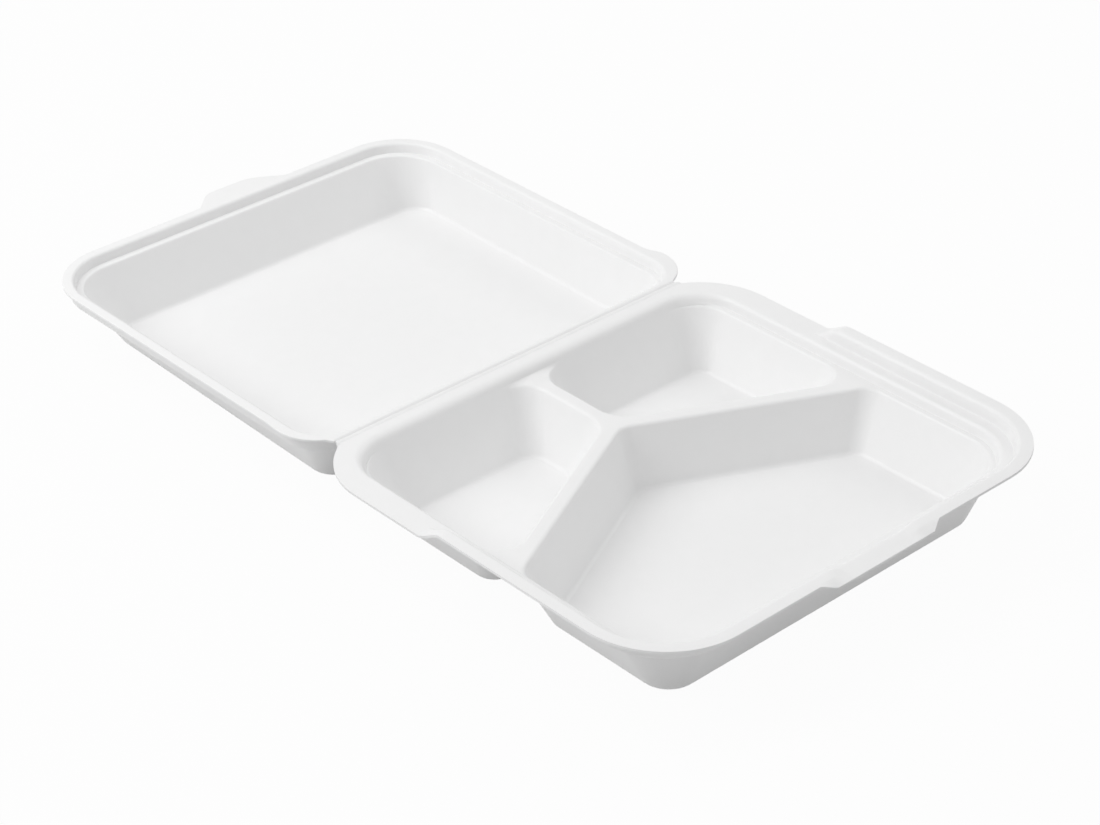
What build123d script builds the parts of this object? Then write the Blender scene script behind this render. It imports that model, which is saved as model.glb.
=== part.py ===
from build123d import *
import os
from math import cos, radians, sin, sqrt

# Foam clamshell container with three compartments, lying open: one thermoformed sheet,
# creased into a base tray and a lid. Millimetres. X runs along the hinge, the latch side
# is -Y, the lid lies towards +Y, and the table is z = 0. The origin is on the underside
# of the base, midway between the hinge and the front edge.

# Sheet and overall sizes
sheet = 2.2              # foam thickness
base_width = 214.0       # across the base, side edge to side edge
base_depth = 191.0       # hinge axis to the front edge of the base
rim_height = 29.5        # table to the top of the base's flange, which is the hinge's level

# Flange of the base and the raised lip that holds the lid
flange_width = 12.0      # side and front edge to the opening
rear_flange = 8.3        # hinge axis to the opening
front_radius = 36.0      # outer front corners
rear_radius = 20.0       # rear corners of the opening
ear_radius = 30.0        # rounded rear corner beside the hinge
ear_setback = 28.0       # hinge axis to where that corner meets the side
lip_height = 5.4
lip_width = 6.0
lip_start = 68.0         # hinge axis to the foot of the lip's ramp
lip_ramp = 11.0

# Step under the flange and the three compartments
step_depth = 4.1         # flange down to the ledge and the divider tops
step_draft = 1.0
ledge = 2.2
side_lean = 11.8         # how far each wall leans in, ledge to floor
rear_lean = 13.5
front_lean = 8.4
divider_lean = 9.8
divider_width = 6.0      # flat top of the dividers
junction = 57.0          # hinge axis to the meeting point of the dividers
arm_angle = 26.0         # the two arms run forward from the X axis by this
pocket_radius = 9.0      # upright corners beside the dividers
well_front_radius = 19.0  # upright outer corners, front and rear
well_rear_radius = 15.0
floor_radius = 2.5       # inside bend between wall and floor

# Front tab of the base, with the shallow saddle for a fingertip
tab_half = 25.0
tab_reach = 3.2
tab_chamfer = 6.0
tab_fall = 1.4           # how far the tab's edge lies below the lip
saddle_half = 16.0
saddle_flare = 6.0

# Lid
fit_clearance = 0.8      # lid flange to the lip of the base, all round
seat_gap = 0.3           # lid flange to the flange that it closes on
tongue_clearance = 0.4   # closed tongue to the top of the lip
lid_flange = 5.0         # side and front edge to the opening
lid_draft = 0.8
lid_ledge = 3.0
lid_rear_flange = 4.0
lid_rear_radius = 16.0   # rear corners of the opening
lid_well_radius = 16.0   # upright corners below the ledge, front and rear
lid_well_rear_radius = 12.5
lid_side_lean = 9.4
lid_front_lean = 12.9
lid_rear_lean = 12.0
lid_ear = 2.3            # how far the rear corners stand out past the lid's sides
lid_ear_length = 18.5
lid_ear_blend = 8.0
tongue_half = 21.0       # half length at the root
tongue_chamfer = 8.0
tongue_reach = 15.5
tongue_offset = 8.5      # the tongue stands to one side of the base's tab

# Edges and creases
edge_radius = 1.5        # rounded top edges of the ledge and the dividers
edge_bevel = 1.0         # edges of the two openings
hinge_gap = 0.3          # base to lid at the crease
crease = 0.5             # depth of the two hinge creases
crease_gap = 2.3         # hinge axis to the second crease

# Levels and places that follow from the sizes above
overcut = 2.0 * sheet
level_band = sheet / 100  # faces within this of a height lie at that height
half_width = base_width / 2
hinge_y = base_depth / 2
front_y = -base_depth / 2
tab_tip = front_y - tab_reach
lip_top = rim_height + lip_height
deck = rim_height - step_depth
lid_rim = rim_height - seat_gap
lid_deck = rim_height - lip_height - tongue_clearance
lid_half = half_width - lip_width - fit_clearance
lid_front_y = hinge_y + base_depth - lip_width - fit_clearance
lid_radius = front_radius - lip_width - fit_clearance
hinge_half = half_width - ear_radius + sqrt(ear_radius**2 - ear_setback**2)


# An outline of straight sides, each given by its outward angle and distance from the origin

def corner_points(sides):
    points = []
    for (angle, reach), (next_angle, next_reach) in zip(sides, sides[1:] + sides[:1]):
        a = radians(angle)
        b = radians(next_angle)
        x = (reach * sin(b) - next_reach * sin(a)) / sin(b - a)
        y = (next_reach * cos(a) - reach * cos(b)) / sin(b - a)
        points.append((x, y))
    return points


def rounded_face(sides, radii):
    points = corner_points(sides)
    face = make_face(Polyline(*points, close=True))
    for point, radius in zip(points, radii):
        face = fillet(face.vertices().sort_by_distance(point)[0], radius)
    return face


def slab(face, low, high):
    return extrude(Pos(0, 0, low) * face, amount=high - low, dir=(0, 0, 1))


# Tapered hollow or its outer skin: a tall block cut by one plane for each wall, its upright
# edges rounded, then trimmed to its height. A wall is an angle, its distance at the top and its
# lean from top to foot. Skin 0 gives the hollow, and the sheet's thickness gives the outside.

def tapered(walls, radii, top, foot, skin, low, high):
    span = 4 * (base_width + base_depth)
    spare = 3 * lip_height
    middle = (low + high + spare) / 2
    body = Pos(0, 0, middle) * Box(span, span, high + spare - low)
    sides = []
    for angle, reach, lean in walls:
        slope = lean / (top - foot)
        outward = Vector(cos(radians(angle)), sin(radians(angle)), 0)
        distance = reach + skin * sqrt(1 + slope**2)
        wall = Plane(origin=outward * distance + Vector(0, 0, top), z_dir=outward - Vector(0, 0, slope))
        body = split(body, bisect_by=wall, keep=Keep.BOTTOM)
        sides.append((angle, distance - slope * (top - middle)))
    for (x, y), radius in zip(corner_points(sides), radii):
        upright = body.edges().sort_by_distance((x, y, middle))[0]
        body = fillet(upright, radius + skin)
    return split(body, bisect_by=Plane.XY.offset(high), keep=Keep.BOTTOM)


def pocket(walls, radii, top):
    body = tapered(walls, radii, top, sheet, 0, sheet, top)
    return fillet(body.edges().group_by(Axis.Z)[0], floor_radius)


def pocket_skin(walls, radii, top):
    body = tapered(walls, radii, top, sheet, sheet, 0, top - sheet / 2)
    return fillet(body.edges().group_by(Axis.Z)[0], floor_radius + sheet)


# Extrusions of a side profile along X and of a front profile along Y

def along_x(points, half_length):
    return extrude(Plane.YZ * make_face(Polyline(*points, close=True)), amount=half_length, both=True)


def along_y(points, rear, front):
    face = Plane.XZ.offset(-rear) * make_face(Polyline(*points, close=True))
    return extrude(face, amount=rear - front)


def crease_groove(y, z):
    return along_x([(y - crease, z), (y + crease, z), (y, z - crease)], base_width)


def inner_edges(part, z):
    level = part.faces().filter_by(Axis.Z).filter_by_position(Axis.Z, z - level_band, z + level_band)
    return level.sort_by(SortBy.AREA)[-1].inner_wires().edges()


def mirrored_face(half):
    return make_face(half + [mirror(edge, Plane.YZ) for edge in half])


# Step under the base's flange

step_walls = [
    (0, half_width - flange_width, step_draft),
    (90, hinge_y - rear_flange, step_draft),
    (180, half_width - flange_width, step_draft),
    (270, -front_y - flange_width, step_draft),
]
step_radii = [rear_radius, rear_radius, front_radius - flange_width, front_radius - flange_width]


# Compartments of the base: a large one in front and two small ones behind the Y divider

step_inset = step_draft + ledge
well_half = half_width - flange_width - step_inset
well_front = -front_y - flange_width - step_inset
well_rear = hinge_y - rear_flange - step_inset
half_divider = divider_width / 2
arm_normal = 90 - arm_angle
arm_reach = (hinge_y - junction) * sin(radians(arm_normal))

front_walls = [
    (0, well_half, side_lean),
    (arm_normal, arm_reach - half_divider, divider_lean),
    (180 - arm_normal, arm_reach - half_divider, divider_lean),
    (180, well_half, side_lean),
    (270, well_front, front_lean),
]
front_radii = [pocket_radius, pocket_radius, pocket_radius, well_front_radius, well_front_radius]

side_walls = [
    (0, well_half, side_lean),
    (90, well_rear, rear_lean),
    (180, -half_divider, divider_lean),
    (180 + arm_normal, -arm_reach - half_divider, divider_lean),
]
side_radii = [well_rear_radius, pocket_radius, pocket_radius, pocket_radius]


def compartments(make):
    side = make(side_walls, side_radii, deck)
    return [make(front_walls, front_radii, deck), side, mirror(side, Plane.YZ)]


# Flat flange of the base, rounded at the ears beside the hinge

def flange_plan():
    rear = hinge_y - hinge_gap / 2
    corner = half_width - front_radius
    return mirrored_face([
        Line((0, rear), (hinge_half, rear)),
        TangentArc((half_width, hinge_y - ear_setback), (hinge_half, rear), tangent=(0, 1)),
        Line((half_width, hinge_y - ear_setback), (half_width, front_y + front_radius)),
        TangentArc((half_width, front_y + front_radius), (corner, front_y), tangent=(0, -1)),
        Line((corner, front_y), (0, front_y)),
    ])


# Raised lip: a strip along the sides and the front, with a ramp at each rear end. It is a
# folded sheet, so the same shapes lowered by the sheet's thickness hollow it from below.

def lip_plan(outer, inner):
    def border(inset):
        sides = [(0, half_width - inset), (90, hinge_y), (180, half_width - inset), (270, -front_y - inset)]
        corner = front_radius - inset
        return rounded_face(sides, [sheet, sheet, corner, corner])

    return border(outer) - border(inner)


def tab_plan():
    root = tab_half + tab_chamfer
    inside = front_y + lip_width / 2
    return make_face(Polyline(
        (-root, inside), (-root, front_y), (-tab_half, tab_tip),
        (tab_half, tab_tip), (root, front_y), (root, inside), close=True))


def lip_side(drop, low):
    foot = hinge_y - lip_start
    rise = lip_height / lip_ramp
    slant = drop * sqrt(1 + rise**2)
    end = tab_tip - 2 * overcut
    return along_x([
        (foot - (low - rim_height + slant) / rise, low),
        (foot - (lip_height - drop + slant) / rise, lip_top - drop),
        (end, lip_top - drop),
        (end, low),
    ], base_width)


def tab_saddle(drop):
    low = lip_top - tab_fall - drop
    high = lip_top + overcut
    flare = saddle_flare / tab_fall
    half = saddle_half + drop * (sqrt(1 + flare**2) - flare)
    top_half = half + flare * (high - low)
    points = [(-half, low), (half, low), (top_half, high), (-top_half, high)]
    return along_y(points, front_y + lip_width + overcut, tab_tip - 3 * overcut)


def tab_slope(drop):
    fall = tab_fall / tab_reach
    start = lip_top - drop * sqrt(1 + fall**2)
    length = tab_reach + 3 * overcut
    end = front_y - length
    high = lip_top + overcut
    return along_x([(front_y, start), (end, start - fall * length), (end, high), (front_y, high)], half_width)


def raised_lip():
    plan = lip_plan(0, lip_width) + tab_plan()
    body = slab(plan, rim_height - sheet, lip_top) & lip_side(0, rim_height - sheet)
    return body - tab_saddle(0) - tab_slope(0)


def lip_hollow():
    low = rim_height - sheet - overcut
    plan = lip_plan(-tab_reach - overcut, lip_width - sheet)
    body = slab(plan, low, lip_top) & lip_side(sheet, low)
    return body - tab_saddle(sheet) - tab_slope(sheet)


def base_tray():
    body = slab(flange_plan(), rim_height - sheet, rim_height)
    body += raised_lip()
    body -= lip_hollow()
    body += tapered(step_walls, step_radii, rim_height, deck, sheet, deck - sheet, rim_height - sheet / 2)
    body += compartments(pocket_skin)
    body -= tapered(step_walls, step_radii, rim_height, deck, 0, deck, rim_height + overcut)
    body -= compartments(pocket)
    body = fillet(inner_edges(body, deck), edge_radius)
    body = chamfer(inner_edges(body, rim_height), edge_bevel)
    body -= crease_groove(hinge_y - hinge_gap / 2, rim_height)
    body -= crease_groove(hinge_y - crease_gap, rim_height)
    return body


# Lid: opening, step and pocket. The rear wall runs straight down, with no ledge.

lid_open_half = lid_half - lid_flange
lid_open_front = lid_front_y - lid_flange
lid_open_rear = -hinge_y - lid_rear_flange
lid_open_radius = lid_radius - lid_flange
lid_rear_part = lid_rear_lean * (lid_rim - lid_deck) / (lid_rim - sheet)
lid_inset = lid_draft + lid_ledge

lid_step_walls = [
    (0, lid_open_half, lid_draft),
    (90, lid_open_front, lid_draft),
    (180, lid_open_half, lid_draft),
    (270, lid_open_rear, lid_rear_part),
]
lid_step_radii = [lid_open_radius, lid_open_radius, lid_rear_radius, lid_rear_radius]

lid_walls = [
    (0, lid_open_half - lid_inset, lid_side_lean),
    (90, lid_open_front - lid_inset, lid_front_lean),
    (180, lid_open_half - lid_inset, lid_side_lean),
    (270, lid_open_rear - lid_rear_part, lid_rear_lean - lid_rear_part),
]
lid_radii = [lid_well_radius, lid_well_radius, lid_well_rear_radius, lid_well_rear_radius]


def lid_plan():
    rear = hinge_y + hinge_gap / 2
    ear_end = hinge_y + lid_ear_length
    ear_half = lid_half + lid_ear
    middle = ear_end + lid_ear_blend / 2
    side_start = ear_end + lid_ear_blend
    corner = lid_half - lid_radius
    return mirrored_face([
        Line((0, rear), (hinge_half, rear)),
        TangentArc((ear_half, ear_end), (hinge_half, rear), tangent=(0, -1)),
        Bezier((ear_half, ear_end), (ear_half, middle), (lid_half, middle), (lid_half, side_start)),
        Line((lid_half, side_start), (lid_half, lid_front_y - lid_radius)),
        TangentArc((lid_half, lid_front_y - lid_radius), (corner, lid_front_y), tangent=(0, 1)),
        Line((corner, lid_front_y), (0, lid_front_y)),
    ])


def tongue_plan():
    root = lid_open_front
    shoulder = lid_front_y + tongue_reach - tongue_chamfer
    tip = lid_front_y + tongue_reach
    tip_half = tongue_half - tongue_chamfer
    plan = make_face(Polyline(
        (-tongue_half, root), (tongue_half, root), (tongue_half, shoulder),
        (tip_half, tip), (-tip_half, tip), (-tongue_half, shoulder), close=True))
    plan = fillet(plan.vertices().group_by(Axis.Y)[-1], tongue_chamfer / 2)
    return Pos(tongue_offset, 0, 0) * plan


def lid_tray():
    skin_top = lid_rim - sheet / 2
    body = slab(lid_plan(), lid_rim - sheet, lid_rim)
    body += tapered(lid_step_walls, lid_step_radii, lid_rim, lid_deck, sheet, lid_deck - sheet, skin_top)
    body += slab(tongue_plan(), lid_deck - sheet, lid_deck)
    body += pocket_skin(lid_walls, lid_radii, lid_deck)
    body -= tapered(lid_step_walls, lid_step_radii, lid_rim, lid_deck, 0, lid_deck, lid_rim + overcut)
    body -= pocket(lid_walls, lid_radii, lid_deck)
    body = chamfer(inner_edges(body, lid_rim), edge_bevel)
    body -= crease_groove(hinge_y + hinge_gap / 2, lid_rim)
    return body


os.makedirs("parts", exist_ok=True)
base = base_tray()
lid = lid_tray()
export_step(base, "parts/base.step")
export_step(lid, "parts/lid.step")
for name, part in (("base", base), ("lid", lid)):
    print(name, round(part.volume), "mm3,", len(part.solids()), "solid, valid", part.is_valid)
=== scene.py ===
import math
import bpy
import bmesh
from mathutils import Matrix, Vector


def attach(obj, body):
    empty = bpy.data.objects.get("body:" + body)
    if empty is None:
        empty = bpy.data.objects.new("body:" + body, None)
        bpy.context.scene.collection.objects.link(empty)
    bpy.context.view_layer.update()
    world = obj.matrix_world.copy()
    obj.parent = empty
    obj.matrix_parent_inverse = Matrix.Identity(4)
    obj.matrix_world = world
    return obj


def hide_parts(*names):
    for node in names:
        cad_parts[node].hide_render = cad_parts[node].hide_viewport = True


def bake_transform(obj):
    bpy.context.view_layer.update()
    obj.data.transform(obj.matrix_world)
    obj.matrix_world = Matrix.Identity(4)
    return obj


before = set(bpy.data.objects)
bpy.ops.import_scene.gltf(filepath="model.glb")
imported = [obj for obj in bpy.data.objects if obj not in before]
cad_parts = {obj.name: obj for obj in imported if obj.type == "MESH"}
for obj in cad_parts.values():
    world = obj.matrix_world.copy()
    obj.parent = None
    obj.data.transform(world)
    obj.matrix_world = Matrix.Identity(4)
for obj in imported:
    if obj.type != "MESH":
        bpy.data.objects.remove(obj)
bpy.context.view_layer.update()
mm = 0.001
hingeY = 95.5      # hinge axis, mm
rimZ = 29.5        # top of the base's flange, the hinge's level
slack = 0.005      # within this, mm, a station counts as on an edge
bendSteps = 6      # faces round a bend of the sheet
footSteps = 3      # faces round a small foot
bottomSteps = 7    # faces round the lid's outer bottom edge
rearParts = 8      # stations along half the hinge side
finish = {"mergeGap": 0.00001, "bevelAngle": 55, "bevelSegments": 2, "smoothAngle": 40, "webAngle": 50,
          "normalWeight": 50}
print("frame loaded:", sorted(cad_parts))


# Working helpers

def selectOnly(piece):
    bpy.ops.object.select_all(action="DESELECT")
    piece.select_set(True)
    bpy.context.view_layer.objects.active = piece


def smooth(t):
    t = min(max(t, 0.0), 1.0)
    return t * t * (3 - 2 * t)


def arcPoints(centre, radius, fromDeg, toDeg, steps):
    turns = [math.radians(fromDeg + (toDeg - fromDeg) * i / steps) for i in range(steps + 1)]
    return [(centre[0] + radius * math.cos(a), centre[1] + radius * math.sin(a)) for a in turns]


# A tray's ring of stations: u runs along the hinge, v runs away from it.
# All rings of a tray have the same stops.
def trayRing(stops, halfU, rearV, frontV, rearR, frontR, earV=None):
    rearU = halfU - rearR
    rearC = rearV + rearR if earV is None else earV
    rearTurn = 90.0 if earV is None else math.degrees(math.asin((earV - rearV) / rearR))
    cornerU = halfU - frontR
    cornerV = frontV - frontR
    bend = arcPoints((rearU, rearC), rearR, -rearTurn, 0, stops["rearArc"])
    right = [(bend[0][0] * f, rearV) for f in stops["rear"]] + bend
    right += [(halfU, rearC + (cornerV - rearC) * f) for f in stops["side"]]
    right += arcPoints((cornerU, cornerV), frontR, 0, 90, stops["frontArc"])
    front = [(cornerU * f, frontV) for f in stops["front"]]
    left = [(-u, v) for u, v in reversed(right)]
    return right + front + left[:-1]


def mixRings(a, b, t):
    return [(p[0] + (q[0] - p[0]) * t, p[1] + (q[1] - p[1]) * t) for p, q in zip(a, b)]


def onBase(ring, heights):
    return [Vector((u, hingeY - v, z)) * mm for (u, v), z in zip(ring, heights)]


def onLid(ring, heights):
    return [Vector((u, hingeY + v, z)) * mm for (u, v), z in zip(ring, heights)]


def placeRing(piece, points):
    mesh = bmesh.from_edit_mesh(piece.data)
    station = mesh.verts.layers.int["station"]
    for vert in mesh.verts:
        if vert.select:
            vert.co = points[vert[station]]
    bmesh.update_edit_mesh(piece.data)


# A circle laid on the first ring, then pulled out edge by edge through the others
def pullTray(name, rings, floorFirst=False, floorLast=False):
    bpy.ops.object.select_all(action="DESELECT")
    bpy.ops.mesh.primitive_circle_add(vertices=len(rings[0]), radius=0.1, location=(0, 0, 0))
    piece = bpy.context.object
    piece.name = name
    bpy.ops.object.mode_set(mode="EDIT")
    bpy.ops.mesh.select_mode(type="VERT")
    bpy.ops.mesh.select_all(action="SELECT")
    mesh = bmesh.from_edit_mesh(piece.data)
    station = mesh.verts.layers.int.new("station")
    for number, vert in enumerate(mesh.verts):
        vert[station] = number
    bmesh.update_edit_mesh(piece.data)
    placeRing(piece, rings[0])
    if floorFirst:
        bpy.ops.mesh.edge_face_add()
    for ring in rings[1:]:
        bpy.ops.mesh.extrude_edges_move()
        placeRing(piece, ring)
    if floorLast:
        bpy.ops.mesh.edge_face_add()
    bpy.ops.object.mode_set(mode="OBJECT")
    return piece


def joinInto(piece, others):
    bpy.ops.object.select_all(action="DESELECT")
    for other in [piece] + others:
        other.select_set(True)
    bpy.context.view_layer.objects.active = piece
    bpy.ops.object.join()


# Merges doubles and turns the faces so that the one nearest to upAt looks up
def turnOutward(piece, upAt):
    bpy.ops.object.mode_set(mode="EDIT")
    bpy.ops.mesh.select_all(action="SELECT")
    bpy.ops.mesh.remove_doubles(threshold=finish["mergeGap"])
    bpy.ops.mesh.normals_make_consistent(inside=False)
    bpy.ops.object.mode_set(mode="OBJECT")
    nearest = min(piece.data.polygons, key=lambda face: (face.center - upAt).length)
    if nearest.normal.z < 0:
        bpy.ops.object.mode_set(mode="EDIT")
        bpy.ops.mesh.flip_normals()
        bpy.ops.object.mode_set(mode="OBJECT")


def addModifier(piece, kind, **values):
    selectOnly(piece)
    bpy.ops.object.modifier_add(type=kind)
    modifier = piece.modifiers[-1]
    for key, value in values.items():
        setattr(modifier, key, value)
    bpy.ops.object.modifier_apply(modifier=modifier.name)


def finishTray(piece, bevelWidth):
    addModifier(piece, "BEVEL", width=bevelWidth * mm, segments=finish["bevelSegments"], limit_method="ANGLE",
                angle_limit=math.radians(finish["bevelAngle"]))
    selectOnly(piece)
    bpy.ops.object.shade_smooth_by_angle(angle=math.radians(finish["smoothAngle"]))
    addModifier(piece, "WEIGHTED_NORMAL", keep_sharp=True, weight=finish["normalWeight"])


# Corner of a folded sheet seen in section: points from the first leg round to the second
def bendPoints(radius, turn, steps):
    angles = [turn * i / steps for i in range(steps + 1)]
    return [(radius * math.sin(a), radius * (1 - math.cos(a))) for a in angles]


# Materials

grainDetail = {"fine": 3.0, "waves": 2.0, "mottle": 4.0, "mottleScale": 160.0}


def foamGrainGroup():
    group = bpy.data.node_groups.new("foamGrain", "ShaderNodeTree")
    face = group.interface
    face.new_socket(name="Vector", in_out="INPUT", socket_type="NodeSocketVector")
    face.new_socket(name="Tone", in_out="INPUT", socket_type="NodeSocketColor")
    for label in ("Cell Size", "Cell Depth", "Wave Size", "Wave Depth", "Tone Shift", "Roughness",
                  "Roughness Shift"):
        face.new_socket(name=label, in_out="INPUT", socket_type="NodeSocketFloat")
    face.new_socket(name="Color", in_out="OUTPUT", socket_type="NodeSocketColor")
    for label in ("Roughness", "Height"):
        face.new_socket(name=label, in_out="OUTPUT", socket_type="NodeSocketFloat")
    node = group.nodes.new
    link = group.links.new
    source = node("NodeGroupInput")
    sink = node("NodeGroupOutput")
    cells = node("ShaderNodeTexVoronoi")
    cells.feature = "SMOOTH_F1"
    fine = node("ShaderNodeTexNoise")
    fine.inputs["Detail"].default_value = grainDetail["fine"]
    waves = node("ShaderNodeTexNoise")
    waves.inputs["Detail"].default_value = grainDetail["waves"]
    mottle = node("ShaderNodeTexNoise")
    mottle.inputs["Scale"].default_value = grainDetail["mottleScale"]
    mottle.inputs["Detail"].default_value = grainDetail["mottle"]
    for tex in (cells, fine, waves, mottle):
        link(source.outputs["Vector"], tex.inputs["Vector"])
    link(source.outputs["Cell Size"], cells.inputs["Scale"])
    link(source.outputs["Cell Size"], fine.inputs["Scale"])
    link(source.outputs["Wave Size"], waves.inputs["Scale"])

    def combine(operation, a, b):
        unit = node("ShaderNodeMath")
        unit.operation = operation
        for slot, value in ((0, a), (1, b)):
            if isinstance(value, float):
                unit.inputs[slot].default_value = value
            else:
                link(value, unit.inputs[slot])
        return unit.outputs[0]

    cellShape = combine("SUBTRACT", fine.outputs["Fac"], cells.outputs["Distance"])
    cellHeight = combine("MULTIPLY", cellShape, source.outputs["Cell Depth"])
    waveHeight = combine("MULTIPLY", waves.outputs["Fac"], source.outputs["Wave Depth"])
    link(combine("ADD", cellHeight, waveHeight), sink.inputs["Height"])
    patch = combine("SUBTRACT", mottle.outputs["Fac"], 0.5)
    shineShift = combine("MULTIPLY", patch, source.outputs["Roughness Shift"])
    shine = combine("ADD", source.outputs["Roughness"], shineShift)
    link(shine, sink.inputs["Roughness"])
    tint = node("ShaderNodeHueSaturation")
    link(source.outputs["Tone"], tint.inputs["Color"])
    link(combine("ADD", combine("MULTIPLY", patch, source.outputs["Tone Shift"]), 1.0), tint.inputs["Value"])
    link(tint.outputs["Color"], sink.inputs["Color"])
    return group


foamGrain = foamGrainGroup()

foamLooks = {
    "foamSkin": {"tone": (0.905, 0.905, 0.905, 1), "toneShift": 0.02, "roughness": 0.36, "roughnessShift": 0.1,
                 "cellSize": 1500.0, "cellDepth": 0.35, "waveSize": 38.0, "waveDepth": 0.9,
                 "bump": 0.12, "bumpReach": 0.0004},
    "foamCut": {"tone": (0.89, 0.89, 0.89, 1), "toneShift": 0.03, "roughness": 0.55, "roughnessShift": 0.1,
                "cellSize": 1100.0, "cellDepth": 1.0, "waveSize": 60.0, "waveDepth": 0.2,
                "bump": 0.08, "bumpReach": 0.0003},
    "foamCrease": {"tone": (0.865, 0.865, 0.865, 1), "toneShift": 0.04, "roughness": 0.5, "roughnessShift": 0.1,
                   "cellSize": 1500.0, "cellDepth": 0.4, "waveSize": 260.0, "waveDepth": 0.9,
                   "bump": 0.3, "bumpReach": 0.0005},
}

# What all three finishes share
foamBody = {"IOR": 1.45, "Specular IOR Level": 0.42, "Subsurface Weight": 0.12,
            "Subsurface Radius": (1.0, 1.0, 1.0), "Subsurface Scale": 0.002}


def foamMaterial(name):
    look = foamLooks[name]
    material = bpy.data.materials.new(name)
    material.use_nodes = True
    tree = material.node_tree
    shader = tree.nodes["Principled BSDF"]
    place = tree.nodes.new("ShaderNodeTexCoord")
    grain = tree.nodes.new("ShaderNodeGroup")
    grain.node_tree = foamGrain
    tree.links.new(place.outputs["Object"], grain.inputs["Vector"])
    for socket, key in (("Cell Size", "cellSize"), ("Cell Depth", "cellDepth"), ("Wave Size", "waveSize"),
                        ("Wave Depth", "waveDepth"), ("Tone", "tone"), ("Tone Shift", "toneShift"),
                        ("Roughness", "roughness"), ("Roughness Shift", "roughnessShift")):
        grain.inputs[socket].default_value = look[key]
    bump = tree.nodes.new("ShaderNodeBump")
    bump.inputs["Strength"].default_value = look["bump"]
    bump.inputs["Distance"].default_value = look["bumpReach"]
    tree.links.new(grain.outputs["Height"], bump.inputs["Height"])
    tree.links.new(bump.outputs["Normal"], shader.inputs["Normal"])
    tree.links.new(grain.outputs["Color"], shader.inputs["Base Color"])
    tree.links.new(grain.outputs["Roughness"], shader.inputs["Roughness"])
    for socket, value in foamBody.items():
        shader.inputs[socket].default_value = value
    return material


foamSkin = foamMaterial("foamSkin")
foamCut = foamMaterial("foamCut")
foamCrease = foamMaterial("foamCrease")
print("foam materials ready")


# Base tray: flange with its raised lip and tab, step, ledge and dividers

baseTray = {
    "halfWidth": 107.0, "depth": 191.0, "cornerRadius": 36.0,
    "earRadius": 34.0, "earV": 32.3, "rearEdge": 2.3,
    "lipHeight": 5.4, "lipWidth": 6.0, "lipLean": 0.7, "lipBend": 2.0, "lipFoot": 0.6,
    "lipCrown": ((0.35, 0.05), (1.1, 0.0), (2.4, 0.0)),      # from the edge, and drop from the top
    "lipStart": 68.0, "lipRamp": 11.0, "rampStraight": 0.55,
    "tabHalf": 25.0, "tabRoot": 31.0, "tabReach": 3.2, "tabFall": 1.4, "saddleHalf": 16.0, "saddleFlare": 7.0,
    "openHalf": 95.0, "openRear": 8.3, "openFront": 179.0, "openRearRadius": 20.0, "openFrontRadius": 24.0,
    "openBand": 3.0,                                         # flange that follows the opening and not the edge
    "stepDepth": 4.1, "stepDraft": 1.0, "stepBend": 2.0, "stepFoot": 0.4,
    "rearBend": 4.5, "rearSlope": 0.612, "rearEnd": 3.3, "rearHold": 2.0, "rearFade": 19.0,
    "sheet": 2.1, "edgeThins": (0.55, 0.5, 0.38, 0.18), "cutBevel": 0.3,
}

baseSideRun = baseTray["depth"] - baseTray["cornerRadius"] - baseTray["earV"]
baseFrontRun = baseTray["halfWidth"] - baseTray["cornerRadius"]
baseSideStops = (40, 50, 58, 63, 66, 67.5, 68.5, 70, 72, 74, 75.5, 77, 78.5, 80, 82, 86, 95, 108, 122, 136, 147)
baseFrontStops = (60, 50, 42, 36, 33, 31, 29.5, 28, 26.5, 25, 23, 21, 20, 19, 18, 17, 16, 13, 8, 4)

baseStops = {
    "rear": [i / rearParts for i in range(rearParts)], "rearArc": 14, "frontArc": 18,
    "side": [(v - baseTray["earV"]) / baseSideRun for v in baseSideStops],
    "front": [u / baseFrontRun for u in (*baseFrontStops, 0, *(-u for u in reversed(baseFrontStops)))],
}


def baseOutline():
    t = baseTray
    ring = trayRing(baseStops, t["halfWidth"], t["rearEdge"], t["depth"], t["earRadius"], t["cornerRadius"],
                    t["earV"])
    grown = []
    for u, v in ring:
        if v > t["depth"] - slack:
            v += t["tabReach"] * min(max((t["tabRoot"] - abs(u)) / (t["tabRoot"] - t["tabHalf"]), 0.0), 1.0)
        grown.append((u, v))
    return ring, grown


def baseOpening(grow):
    t = baseTray
    return trayRing(baseStops, t["openHalf"] + grow, t["openRear"] - grow, t["openFront"] + grow,
                    t["openRearRadius"] + grow, t["openFrontRadius"] + grow)


# Share of the lip's full height at a station: none beside the hinge, a ramp on each side, a dip at the saddle
def lipShare(u, v):
    t = baseTray
    climb = (v - t["lipStart"]) / t["lipRamp"]
    straight = t["rampStraight"]
    share = straight * min(max(climb, 0.0), 1.0) + (1 - straight) * smooth(climb)
    if v > t["depth"] - t["lipWidth"] * 2:
        dip = smooth((t["saddleHalf"] + t["saddleFlare"] - abs(u)) / t["saddleFlare"])
        share -= dip * t["tabFall"] / t["lipHeight"]
    return share


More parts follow.
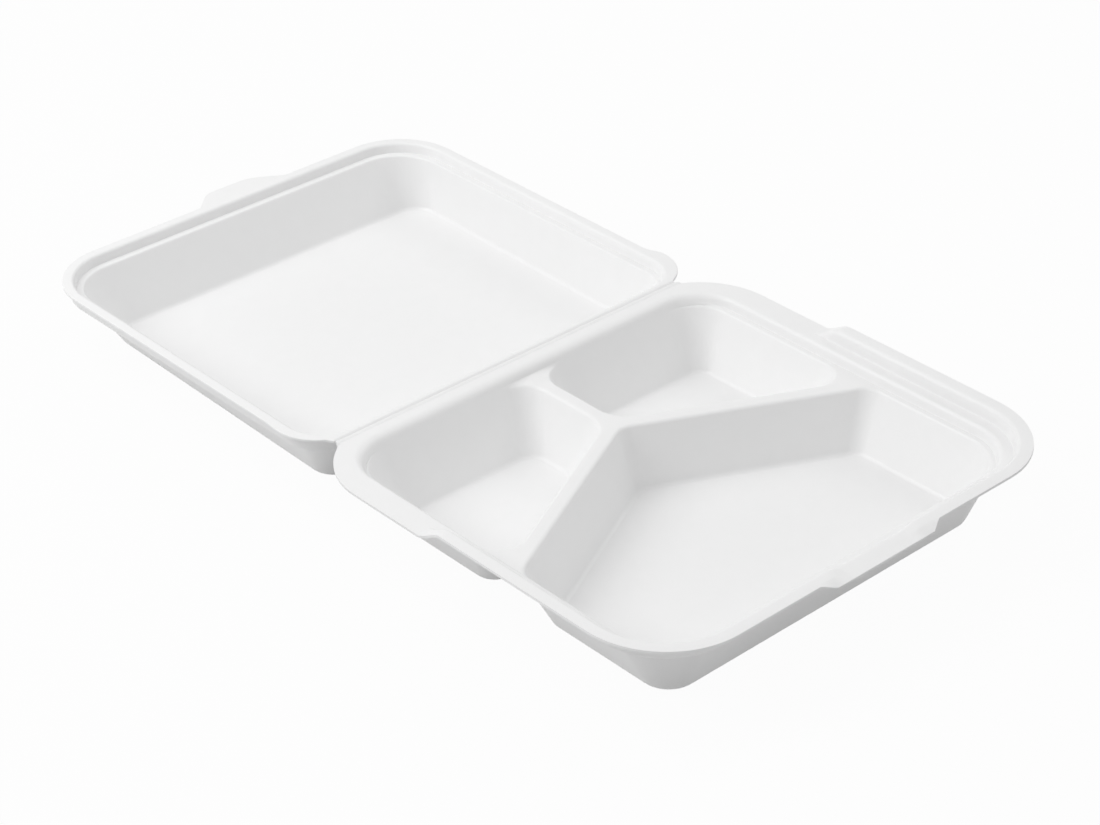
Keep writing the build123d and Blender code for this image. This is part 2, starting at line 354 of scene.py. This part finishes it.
def baseRimRings():
    t = baseTray
    outline, grown = baseOutline()
    wide = baseOpening(t["openBand"])
    flange = t["halfWidth"] - t["openHalf"]

    def atInset(inset):
        if inset <= flange - t["openBand"]:
            return mixRings(outline, wide, inset / (flange - t["openBand"]))
        return baseOpening(flange - inset)

    rings = []
    tabLevel = []
    for (u, v), tabPoint in zip(outline, grown):
        level = t["lipHeight"] * lipShare(u, v)
        fall = t["tabFall"] * smooth((tabPoint[1] - v) / t["tabReach"])
        tabLevel.append(rimZ + min(level, t["lipHeight"] - fall))
    rings.append(onBase(grown, tabLevel))

    # Lip in section: flat top, round inner edge, steep inner face, small foot
    turn = math.radians(90) - math.atan(t["lipLean"] / t["lipHeight"])
    reach = t["lipBend"] * math.tan(turn / 2)
    foot = t["lipFoot"] * math.tan(turn / 2)
    section = list(t["lipCrown"])
    section += [(t["lipWidth"] - reach + a, b) for a, b in bendPoints(t["lipBend"], turn, bendSteps)]
    footEnd = t["lipWidth"] + t["lipLean"] + foot
    footBend = bendPoints(t["lipFoot"], turn, footSteps)
    section += [(footEnd - a, t["lipHeight"] - b) for a, b in reversed(footBend)]
    for inset, drop in section:
        ring = atInset(inset)
        rings.append(onBase(ring, [rimZ + (t["lipHeight"] - drop) * lipShare(u, v) for u, v in ring]))

    # Flat flange, then the step down to the ledge. On the hinge side the flange rounds into the wall.
    turn = math.radians(90) - math.atan(t["stepDraft"] / t["stepDepth"])
    reach = t["stepBend"] * math.tan(turn / 2)
    foot = t["stepFoot"] * math.tan(turn / 2)
    section = [(flange - reach + a, b) for a, b in bendPoints(t["stepBend"], turn, bendSteps)]
    footEnd = flange + t["stepDraft"] + foot
    footBend = bendPoints(t["stepFoot"], turn, footSteps)
    section += [(footEnd - a, t["stepDepth"] - b) for a, b in reversed(footBend)]
    rearTurn = math.radians(90) - math.atan(t["rearSlope"])
    rearReach = t["rearBend"] * math.tan(rearTurn / 2)
    rear = [(a - rearReach, b) for a, b in bendPoints(t["rearBend"], rearTurn, bendSteps)]
    last = rear[-1][1]
    parts = footSteps + 1
    drops = [last + (t["rearEnd"] - last) * k / parts for k in range(1, parts + 1)]
    rear += [(drop * t["rearSlope"], drop) for drop in drops]
    shares = [1 - smooth((v - t["openRear"] - t["rearHold"]) / t["rearFade"]) for u, v in baseOpening(0.0)]
    for (inset, drop), (rearIn, rearDrop) in zip(section, rear):
        pairs = zip(baseOpening(flange - inset), baseOpening(-rearIn), shares)
        ring = [(a[0] + (b[0] - a[0]) * share, a[1] + (b[1] - a[1]) * share) for a, b, share in pairs]
        rings.append(onBase(ring, [rimZ - drop - (rearDrop - drop) * share for share in shares]))
    return rings


# Compartments: walls are outward angle, distance from the part's centre at the top, and lean to the floor

baseWells = {
    "top": 25.4, "topSlack": 1.0, "floor": 2.2, "floorPoint": (0.0, -30.0), "rimBend": 1.9, "floorBend": 2.5,
    "cornerSteps": 12, "sideSteps": 4,
    "front": {"walls": [(0, 91.8, 11.8), (64, 31.6, 9.8), (116, 31.6, 9.8), (180, 91.8, 11.8),
                        (270, 80.3, 8.2)],
              "radii": [9.0, 9.0, 9.0, 20.8, 20.8], "footRadii": [7.0, 8.0, 7.0, 9.5, 9.5]},
    "right": {"walls": [(0, 91.8, 11.8), (90, 84.69, 14.2), (180, -3.0, 9.8), (244, -37.6, 9.8)],
              "radii": [16.8, 11.0, 15.0, 10.5], "footRadii": [6.5, 7.5, 10.0, 7.0]},
    "left": {"walls": [(0, -3.0, 9.8), (90, 84.69, 14.2), (180, 91.8, 11.8), (296, -37.6, 9.8)],
             "radii": [11.0, 16.8, 10.5, 15.0], "footRadii": [7.5, 6.5, 7.0, 10.0]},
}


def wellRing(walls, reaches, heights, radii):
    count = len(walls)
    arcs = []
    for i in range(count):
        j = (i + 1) % count
        a = math.radians(walls[i][0])
        b = math.radians(walls[j][0])
        spread = math.sin(b - a)
        corner = Vector(((reaches[i] * math.sin(b) - reaches[j] * math.sin(a)) / spread,
                         (reaches[j] * math.cos(a) - reaches[i] * math.cos(b)) / spread))
        between = Vector((math.cos(a) + math.cos(b), math.sin(a) + math.sin(b)))
        centre = corner - between * (radii[i] / (1 + math.cos(b - a)))
        toDeg = walls[j][0] if walls[j][0] > walls[i][0] else walls[j][0] + 360
        arcs.append(arcPoints(centre, radii[i], walls[i][0], toDeg, baseWells["cornerSteps"]))
    points = []
    for i in range(count):
        j = (i + 1) % count
        steps = baseWells["cornerSteps"]
        for k, (x, y) in enumerate(arcs[i]):
            points.append(Vector((x, y, heights[i] + (heights[j] - heights[i]) * smooth(k / steps))) * mm)
        start = Vector(arcs[i][-1])
        end = Vector(arcs[j][0])
        for k in range(1, baseWells["sideSteps"]):
            x, y = start.lerp(end, k / baseWells["sideSteps"])
            points.append(Vector((x, y, heights[j])) * mm)
    return points


def wellRings(name):
    well = baseWells[name]
    walls = well["walls"]
    top = baseWells["top"]
    floor = baseWells["floor"]
    deep = top - floor
    turns = [math.radians(90) - math.atan(lean / deep) for angle, reach, lean in walls]
    levels = []
    for k in range(bendSteps + 1):
        level = []
        for (angle, reach, lean), turn in zip(walls, turns):
            bend = baseWells["rimBend"]
            drop = bend * (1 - math.cos(turn * k / bendSteps))
            away = bend * math.tan(turn / 2) - bend * math.sin(turn * k / bendSteps)
            if angle == 90:      # hinge side: no round, the wall runs on from the flange
                away = -lean * drop / deep
            level.append((reach + away, top - drop))
        levels.append(level)
    for k in range(bendSteps, -1, -1):
        level = []
        for (angle, reach, lean), turn in zip(walls, turns):
            bend = baseWells["floorBend"]
            level.append((reach - lean - bend * math.tan(turn / 2) + bend * math.sin(turn * k / bendSteps),
                          floor + bend * (1 - math.cos(turn * k / bendSteps))))
        levels.append(level)
    rings = []
    for level in levels:
        spare = []
        for (angle, reach, lean), (distance, z) in zip(walls, level):
            spare.append(distance - (reach - lean * (top - z) / deep))
        radii = []
        for i, (radius, footRadius) in enumerate(zip(well["radii"], well["footRadii"])):
            j = (i + 1) % len(walls)
            sink = (top - (level[i][1] + level[j][1]) / 2) / deep
            radii.append(radius + (footRadius - radius) * sink + (spare[i] + spare[j]) / 2)
        reaches, heights = zip(*level)
        rings.append(wellRing(walls, reaches, heights, radii))
    return rings


def makeBase():
    rimRings = baseRimRings()
    piece = pullTray("baseTray", rimRings)
    around = len(rimRings[0])
    thinEdge = piece.vertex_groups.new(name="thinEdge")
    for number, thin in enumerate(baseTray["edgeThins"]):
        thinEdge.add(list(range(number * around, (number + 1) * around)), thin, "REPLACE")
    wells = [pullTray("well" + name, wellRings(name), floorLast=True) for name in ("front", "right", "left")]
    joinInto(piece, wells)
    deckZ = baseWells["top"] * mm
    bpy.ops.object.mode_set(mode="EDIT")
    bpy.ops.mesh.select_all(action="DESELECT")
    bpy.ops.mesh.select_mode(type="EDGE")
    mesh = bmesh.from_edit_mesh(piece.data)
    for edge in mesh.edges:
        level = all(abs(vert.co.z - deckZ) < baseWells["topSlack"] * mm for vert in edge.verts)
        edge.select_set(edge.is_boundary and level)
    bmesh.update_edit_mesh(piece.data)
    bpy.ops.mesh.fill()
    bpy.ops.object.mode_set(mode="OBJECT")
    turnOutward(piece, Vector((*baseWells["floorPoint"], baseWells["floor"])) * mm)
    piece.data.materials.append(foamSkin)
    piece.data.materials.append(foamCut)
    addModifier(piece, "SOLIDIFY", thickness=baseTray["sheet"] * mm, offset=-1.0, use_even_offset=True,
                use_quality_normals=True, material_offset_rim=1, vertex_group="thinEdge",
                invert_vertex_group=True)
    finishTray(piece, baseTray["cutBevel"])
    return piece


basePiece = makeBase()
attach(basePiece, "base")
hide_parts("base")
print("base tray:", len(basePiece.data.polygons), "faces")


# Lid: a plain tray with a flat rim and a tongue

lidTray = {
    "halfWidth": 100.2, "rearEdge": 0.8, "depth": 184.2, "cornerRadius": 29.2,
    "earRadius": 19.8, "earV": 20.5, "ears": (-0.5, 2.8), "earRoot": 80.0, "earBlend": 9.0, "waistHalf": 90.0,
    "rimLevel": 29.2, "ledgeLevel": 25.0, "floorLevel": 2.2, "floorPoint": (0.0, 187.0), "sheet": 2.2,
    "openHalf": 95.6, "openRear": 4.0, "openFront": 179.6, "openRearRadius": 16.0, "openFrontRadius": 24.6,
    "draft": 0.9, "ledge": 3.0, "sideLean": 8.8, "frontLean": 13.2, "rearLean": 12.0,
    "floorShift": 2.2, "floorSkew": 0.018,                   # floor off centre, and more so to the front
    "rearBend": 2.6, "rearRises": (0.3, 0.7, 1.2, 1.7), "rearHold": 1.0, "rearFade": 10.0,
    "rearFootRadius": 8.0, "frontFootRadius": 11.0,
    "rimBend": 1.5, "edgeRound": 0.35, "edgeSheet": 1.0,
    "underFlange": 2.2, "underStep": 1.7, "underLedge": 1.5, "stepEnd": 0.8,
    "ledgeBend": 1.2, "ledgeFoot": 0.3, "floorBend": 2.5,
    "tongueDrop": 5.5, "tongueSides": (-9.8, 37.7), "tongueTip": (-0.1, 22.9), "tongueReach": 17.2,
    "tongueSlant": 9.2, "tongueRound": 3.0, "tongueSheet": 1.4, "tongueLap": 0.05, "cutBevel": 0.2,
}

lidSideRun = lidTray["depth"] - lidTray["cornerRadius"] - lidTray["earV"]
lidFrontRun = lidTray["halfWidth"] - lidTray["cornerRadius"]
lidSideStops = (21, 22, 23.5, 25, 26.5, 28, 30, 34, 42, 60, 80, 100, 120, 140)
tongueLeft, tongueRight = lidTray["tongueSides"]
tipLeft, tipRight = lidTray["tongueTip"]
lidFrontStops = (60, 50, 44, 40, tongueRight + 2 * slack, tongueRight, 35, 32, 29, 27, 25.5, 24, tipRight,
                 21.5, 20, 17, 11.4, 6, 3, 1.5, tipLeft, -1.3, -2.5, -4.5, -7, tongueLeft,
                 tongueLeft - 2 * slack, -12, -16, -24, -34, -44, -52, -60)

lidStops = {
    "rear": [i / rearParts for i in range(rearParts)], "rearArc": 16, "frontArc": 18,
    "side": [(v - lidTray["earV"]) / lidSideRun for v in lidSideStops],
    "front": [u / lidFrontRun for u in lidFrontStops],
}


# The two ears beside the hinge differ a little. Between them the edge runs straight along the web.
def lidOutline(shrink=0.0):
    t = lidTray
    rear = t["rearEdge"] + shrink
    ring = trayRing(lidStops, t["halfWidth"] - shrink, rear, t["depth"] - shrink, t["earRadius"] - shrink,
                    t["cornerRadius"] - shrink, t["earV"])
    shape = []
    for u, v in ring:
        ear = t["ears"][0] if u < 0 else t["ears"][1]
        ear *= (1 - smooth((v - t["earV"]) / t["earBlend"])) * min(abs(u) / t["earRoot"], 1.0)
        u += math.copysign(ear, u)
        if v < t["earV"] / 2 and abs(u) < t["waistHalf"] - shrink:
            v = rear
        shape.append((u, v))
    return shape


def lidOpening(grow):
    t = lidTray
    return trayRing(lidStops, t["openHalf"] + grow, t["openRear"] - grow, t["openFront"] + grow,
                    t["openRearRadius"] + grow, t["openFrontRadius"] + grow)


# Ring inside or outside the lid's walls. Depth 0 is the ledge and 1 the floor.
# Side, front and rear move it outward.
def lidWall(depth, side, front, rear):
    t = lidTray
    inset = t["draft"] + t["ledge"]
    rearTop = t["rearLean"] * (t["rimLevel"] - t["ledgeLevel"]) / (t["rimLevel"] - t["floorLevel"])
    halfU = t["openHalf"] - inset - t["sideLean"] * depth + side
    frontV = t["openFront"] - inset - t["frontLean"] * depth + front
    rearV = t["openRear"] + rearTop + (t["rearLean"] - rearTop) * depth - rear
    rearR = t["openRearRadius"] - inset
    frontR = t["openFrontRadius"] - inset
    rearR += (t["rearFootRadius"] - rearR) * depth + (side + rear) / 2
    frontR += (t["frontFootRadius"] - frontR) * depth + (side + front) / 2
    ring = trayRing(lidStops, halfU, rearV, frontV, rearR, frontR)
    return [(u + depth * (t["floorShift"] + t["floorSkew"] * v), v) for u, v in ring]


# How far the tongue stands out at a station of the front edge: slanted sides, soft corners and a straight tip
def tongueReach(u, v):
    t = lidTray
    if u < tongueLeft - slack or u > tongueRight + slack or v < t["depth"] - slack:
        return None
    side = min((u - tongueLeft) / (tipLeft - tongueLeft), (tongueRight - u) / (tongueRight - tipRight)) - 1.0
    soft = t["tongueRound"] / t["tongueSlant"]
    cut = max(-side, 0.0)
    if abs(side) < soft:
        cut = (soft - side) ** 2 / (4 * soft)
    return t["tongueReach"] - t["tongueSlant"] * cut


# Rings of the rim from the ledge up, over the flat flange and back under it. The hinge side has no ledge.
# At the tongue the sheet runs out under the flange.
def lidRimRings():
    t = lidTray
    rings = []
    tall = t["rimLevel"] - t["ledgeLevel"]
    rearShares = [1 - smooth((v - t["openRear"] - t["rearHold"]) / t["rearFade"]) for u, v in lidOpening(0.0)]
    outline = lidOutline()
    reaches = [tongueReach(u, v) for u, v in outline]

    turn = math.radians(90) - math.atan(t["draft"] / tall)
    foot = t["ledgeFoot"] * math.tan(turn / 2)
    inner = [(a - t["draft"] - foot, tall - b) for a, b in bendPoints(t["ledgeFoot"], turn, footSteps)]
    lip = t["rimBend"] * math.tan(turn / 2)
    inner += [(lip - a, b) for a, b in reversed(bendPoints(t["rimBend"], turn, bendSteps))]
    slope = t["rearLean"] / (t["rimLevel"] - t["floorLevel"])
    rearTurn = math.radians(90) - math.atan(slope)
    rearLip = t["rearBend"] * math.tan(rearTurn / 2)
    rear = [(-slope * (tall - rise), tall - rise) for rise in t["rearRises"]]
    rear += [(rearLip - a, b) for a, b in reversed(bendPoints(t["rearBend"], rearTurn, bendSteps))]
    for (grow, drop), (rearGrow, rearDrop) in zip(inner, rear):
        pairs = zip(lidOpening(grow), lidOpening(rearGrow), rearShares)
        points = [(a[0] + (b[0] - a[0]) * s, a[1] + (b[1] - a[1]) * s) for a, b, s in pairs]
        rings.append(onLid(points, [t["rimLevel"] - drop - (rearDrop - drop) * s for s in rearShares]))

    def level(ring, drop, tongueDrop=None):
        tongueDrop = drop if tongueDrop is None else tongueDrop
        heights = [t["rimLevel"] - (drop if reach is None else tongueDrop) for reach in reaches]
        rings.append(onLid(ring, heights))

    for a, b in bendPoints(t["edgeRound"], math.radians(90), footSteps):
        level(lidOutline(t["edgeRound"] - a), b)
    level(outline, t["edgeSheet"])
    level(lidOpening(t["underFlange"]), t["sheet"])

    # Outside of the step; the tongue's stations run out to its edge and back
    wall = lidOpening(t["underStep"])
    tip = [q if reach is None else (u, v + reach) for (u, v), q, reach in zip(outline, wall, reaches)]
    level(wall, t["tongueDrop"] - t["tongueLap"])
    level(tip, t["tongueDrop"])
    level(tip, t["tongueDrop"] + t["stepEnd"], t["tongueDrop"] + t["tongueSheet"])
    level(lidOpening(t["underLedge"]), tall + t["sheet"])
    return rings


def makeLid():
    t = lidTray
    deep = t["ledgeLevel"] - t["floorLevel"]
    leans = (t["sideLean"], t["frontLean"], t["rearLean"] * deep / (t["rimLevel"] - t["floorLevel"]))
    turns = [math.radians(90) - math.atan(lean / deep) for lean in leans]

    def level(ring, z):
        return onLid(ring, [z] * len(ring))

    # Inside, from the floor up to the ledge
    rings = []
    for k in range(bendSteps + 1):
        away = [-t["floorBend"] * (math.tan(turn / 2) - math.sin(turn * k / bendSteps)) for turn in turns]
        rise = sum(t["floorBend"] * (1 - math.cos(turn * k / bendSteps)) for turn in turns) / len(turns)
        rings.append(level(lidWall(1.0, *away), t["floorLevel"] + rise))
    for k in range(bendSteps, -1, -1):
        drop = sum(t["ledgeBend"] * (1 - math.cos(turn * k / bendSteps)) for turn in turns) / len(turns)
        away = [t["ledgeBend"] * (math.tan(turn / 2) - math.sin(turn * k / bendSteps)) for turn in turns[:2]]
        away.append(-leans[2] * drop / deep)
        rings.append(level(lidWall(0.0, *away), t["ledgeLevel"] - drop))
    rings += lidRimRings()

    # Outside, from under the ledge down to the floor
    skins = [t["sheet"] / math.sin(turn) for turn in turns]
    sunk = t["sheet"] / deep
    rings.append(level(lidWall(sunk, *skins), t["ledgeLevel"] - t["sheet"]))
    bottom = t["floorBend"] + t["sheet"]
    low = 1.0 + t["floorLevel"] / deep
    for k in range(bottomSteps, -1, -1):
        away = []
        for skin, turn in zip(skins, turns):
            away.append(skin - bottom * (math.tan(turn / 2) - math.sin(turn * k / bottomSteps)))
        rise = sum(bottom * (1 - math.cos(turn * k / bottomSteps)) for turn in turns) / len(turns)
        rings.append(level(lidWall(low, *away), rise))

    piece = pullTray("lidTray", rings, floorFirst=True, floorLast=True)
    turnOutward(piece, Vector((*t["floorPoint"], t["floorLevel"])) * mm)
    piece.data.materials.append(foamSkin)
    finishTray(piece, t["cutBevel"])
    return piece


lidPiece = makeLid()
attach(lidPiece, "lid")
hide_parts("lid")
print("lid tray:", len(lidPiece.data.polygons), "faces")


# Hinge web: the thin creased strip of the same sheet that joins base and lid

hingeWeb = {
    "baseEdge": 3.2, "lidEdge": 1.4, "baseHalf": 90.4, "waistHalf": 89.3, "lidHalf": 88.9,
    "baseFlare": 2.3, "lidFlare": 0.8, "top": 29.35, "sheet": 1.3, "cuts": (60, 18),
    "creases": (-2.6, 0.2), "creaseDepth": 0.42, "creaseWidth": 0.5,
    "ripples": ((0.05, 0.9, 0.0), (0.04, 2.3, 1.0)),         # height, pitch and start
}


def makeWeb():
    t = hingeWeb
    bpy.ops.object.select_all(action="DESELECT")
    acrossCuts, alongCuts = t["cuts"]
    bpy.ops.mesh.primitive_grid_add(x_subdivisions=acrossCuts, y_subdivisions=alongCuts, size=2.0,
                                    location=(0, 0, 0))
    piece = bpy.context.object
    piece.name = "hingeWeb"
    bpy.ops.object.mode_set(mode="EDIT")
    mesh = bmesh.from_edit_mesh(piece.data)
    for vert in mesh.verts:
        across = (vert.co.y + 1) / 2
        off = -t["baseEdge"] + across * (t["baseEdge"] + t["lidEdge"])
        if off < 0:
            half = t["waistHalf"] + (t["baseHalf"] - t["waistHalf"]) * min(-off / t["baseFlare"], 1.0)
        else:
            half = t["waistHalf"] + (t["lidHalf"] - t["waistHalf"]) * min(off / t["lidFlare"], 1.0)
        dip = sum(math.exp(-((off - c) / t["creaseWidth"]) ** 2) for c in t["creases"])
        x = vert.co.x * half
        ripple = sum(tall * math.sin(x * pitch + start) for tall, pitch, start in t["ripples"])
        vert.co = Vector((x, hingeY + off, t["top"] - t["creaseDepth"] * min(dip, 1.0) + ripple)) * mm
    bmesh.update_edit_mesh(piece.data)
    bpy.ops.object.mode_set(mode="OBJECT")
    turnOutward(piece, Vector((0, hingeY, t["top"])) * mm)
    piece.data.materials.append(foamCrease)
    addModifier(piece, "SOLIDIFY", thickness=t["sheet"] * mm, offset=-1.0, use_even_offset=True)
    selectOnly(piece)
    bpy.ops.object.shade_smooth_by_angle(angle=math.radians(finish["webAngle"]))
    return piece


webPiece = makeWeb()
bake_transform(webPiece)
print("hinge web ready")


# Floor, light and camera

studio = {
    "floorTone": (0.64, 0.64, 0.64, 1), "floorWhite": 0.96, "floorRough": 0.9, "floorSize": 8.0,
    "floorLevel": -0.0002, "ambient": 0.57, "aim": (0.0, 0.1, 0.02), "lampSize": 0.6,
    "lamps": {"keyLamp": ((-1.0, 0.7, 0.9), 5.1), "topLamp": ((-0.3, 0.5, 1.0), 2.8),
              "sideLamp": ((1.2, 0.1, 0.9), 2.7)},
}


def makeFloor():
    bpy.ops.object.select_all(action="DESELECT")
    bpy.ops.mesh.primitive_plane_add(size=studio["floorSize"], location=(0, 0, studio["floorLevel"]))
    floor = bpy.context.object
    floor.name = "studioFloor"
    material = bpy.data.materials.new("paleFloor")
    material.use_nodes = True
    tree = material.node_tree
    shader = tree.nodes["Principled BSDF"]
    shader.inputs["Base Color"].default_value = studio["floorTone"]
    shader.inputs["Roughness"].default_value = studio["floorRough"]
    shader.inputs["Specular IOR Level"].default_value = 0.0
    white = tree.nodes.new("ShaderNodeEmission")
    white.inputs["Color"].default_value = (1, 1, 1, 1)
    path = tree.nodes.new("ShaderNodeLightPath")
    amount = tree.nodes.new("ShaderNodeMath")
    amount.operation = "MULTIPLY"
    amount.inputs[1].default_value = studio["floorWhite"]
    seen = tree.nodes.new("ShaderNodeMath")
    seen.operation = "ADD"
    seen.use_clamp = True
    also = tree.nodes.new("ShaderNodeMath")
    also.operation = "ADD"
    also.use_clamp = True
    mix = tree.nodes.new("ShaderNodeMixShader")
    tree.links.new(path.outputs["Is Camera Ray"], seen.inputs[0])
    tree.links.new(path.outputs["Is Glossy Ray"], seen.inputs[1])
    tree.links.new(seen.outputs[0], also.inputs[0])
    tree.links.new(path.outputs["Is Transmission Ray"], also.inputs[1])
    tree.links.new(also.outputs[0], amount.inputs[0])
    tree.links.new(amount.outputs[0], mix.inputs[0])
    tree.links.new(shader.outputs[0], mix.inputs[1])
    tree.links.new(white.outputs[0], mix.inputs[2])
    tree.links.new(mix.outputs[0], tree.nodes["Material Output"].inputs["Surface"])
    floor.data.materials.append(material)


def makeWorld():
    world = bpy.data.worlds.new("studioWorld")
    bpy.context.scene.world = world
    world.use_nodes = True
    tree = world.node_tree
    soft = tree.nodes["Background"]
    soft.inputs["Color"].default_value = (1, 1, 1, 1)
    soft.inputs["Strength"].default_value = studio["ambient"]
    white = tree.nodes.new("ShaderNodeBackground")
    white.inputs["Color"].default_value = (1, 1, 1, 1)
    white.inputs["Strength"].default_value = 1.0
    path = tree.nodes.new("ShaderNodeLightPath")
    seen = tree.nodes.new("ShaderNodeMath")
    seen.operation = "ADD"
    seen.use_clamp = True
    mix = tree.nodes.new("ShaderNodeMixShader")
    tree.links.new(path.outputs["Is Camera Ray"], seen.inputs[0])
    tree.links.new(path.outputs["Is Transmission Ray"], seen.inputs[1])
    tree.links.new(seen.outputs[0], mix.inputs[0])
    tree.links.new(soft.outputs[0], mix.inputs[1])
    tree.links.new(white.outputs[0], mix.inputs[2])
    tree.links.new(mix.outputs[0], tree.nodes["World Output"].inputs["Surface"])


def addLamp(name, place, power):
    bpy.ops.object.light_add(type="AREA", location=place)
    lamp = bpy.context.object
    lamp.name = name
    lamp.data.shape = "DISK"
    lamp.data.size = studio["lampSize"]
    lamp.data.energy = power
    lamp.rotation_euler = (Vector(studio["aim"]) - Vector(place)).to_track_quat("-Z", "Y").to_euler()


makeFloor()
makeWorld()
for lampName, (lampPlace, lampPower) in studio["lamps"].items():
    addLamp(lampName, lampPlace, lampPower)

photoView = {"place": (-0.6242, -0.6026, 0.5922), "target": (0.0131, 0.0887, 0.0015), "lens": 91.23,
             "sensor": 36.0}

bpy.ops.object.camera_add(location=photoView["place"])
camera = bpy.context.object
camera.name = "photoCamera"
camera.data.lens = photoView["lens"]
camera.data.sensor_width = photoView["sensor"]
lookAlong = Vector(photoView["target"]) - Vector(photoView["place"])
camera.rotation_euler = lookAlong.to_track_quat("-Z", "Y").to_euler()
bpy.context.scene.camera = camera
bpy.context.scene.view_settings.view_transform = "Standard"
print("floor, light and camera ready")
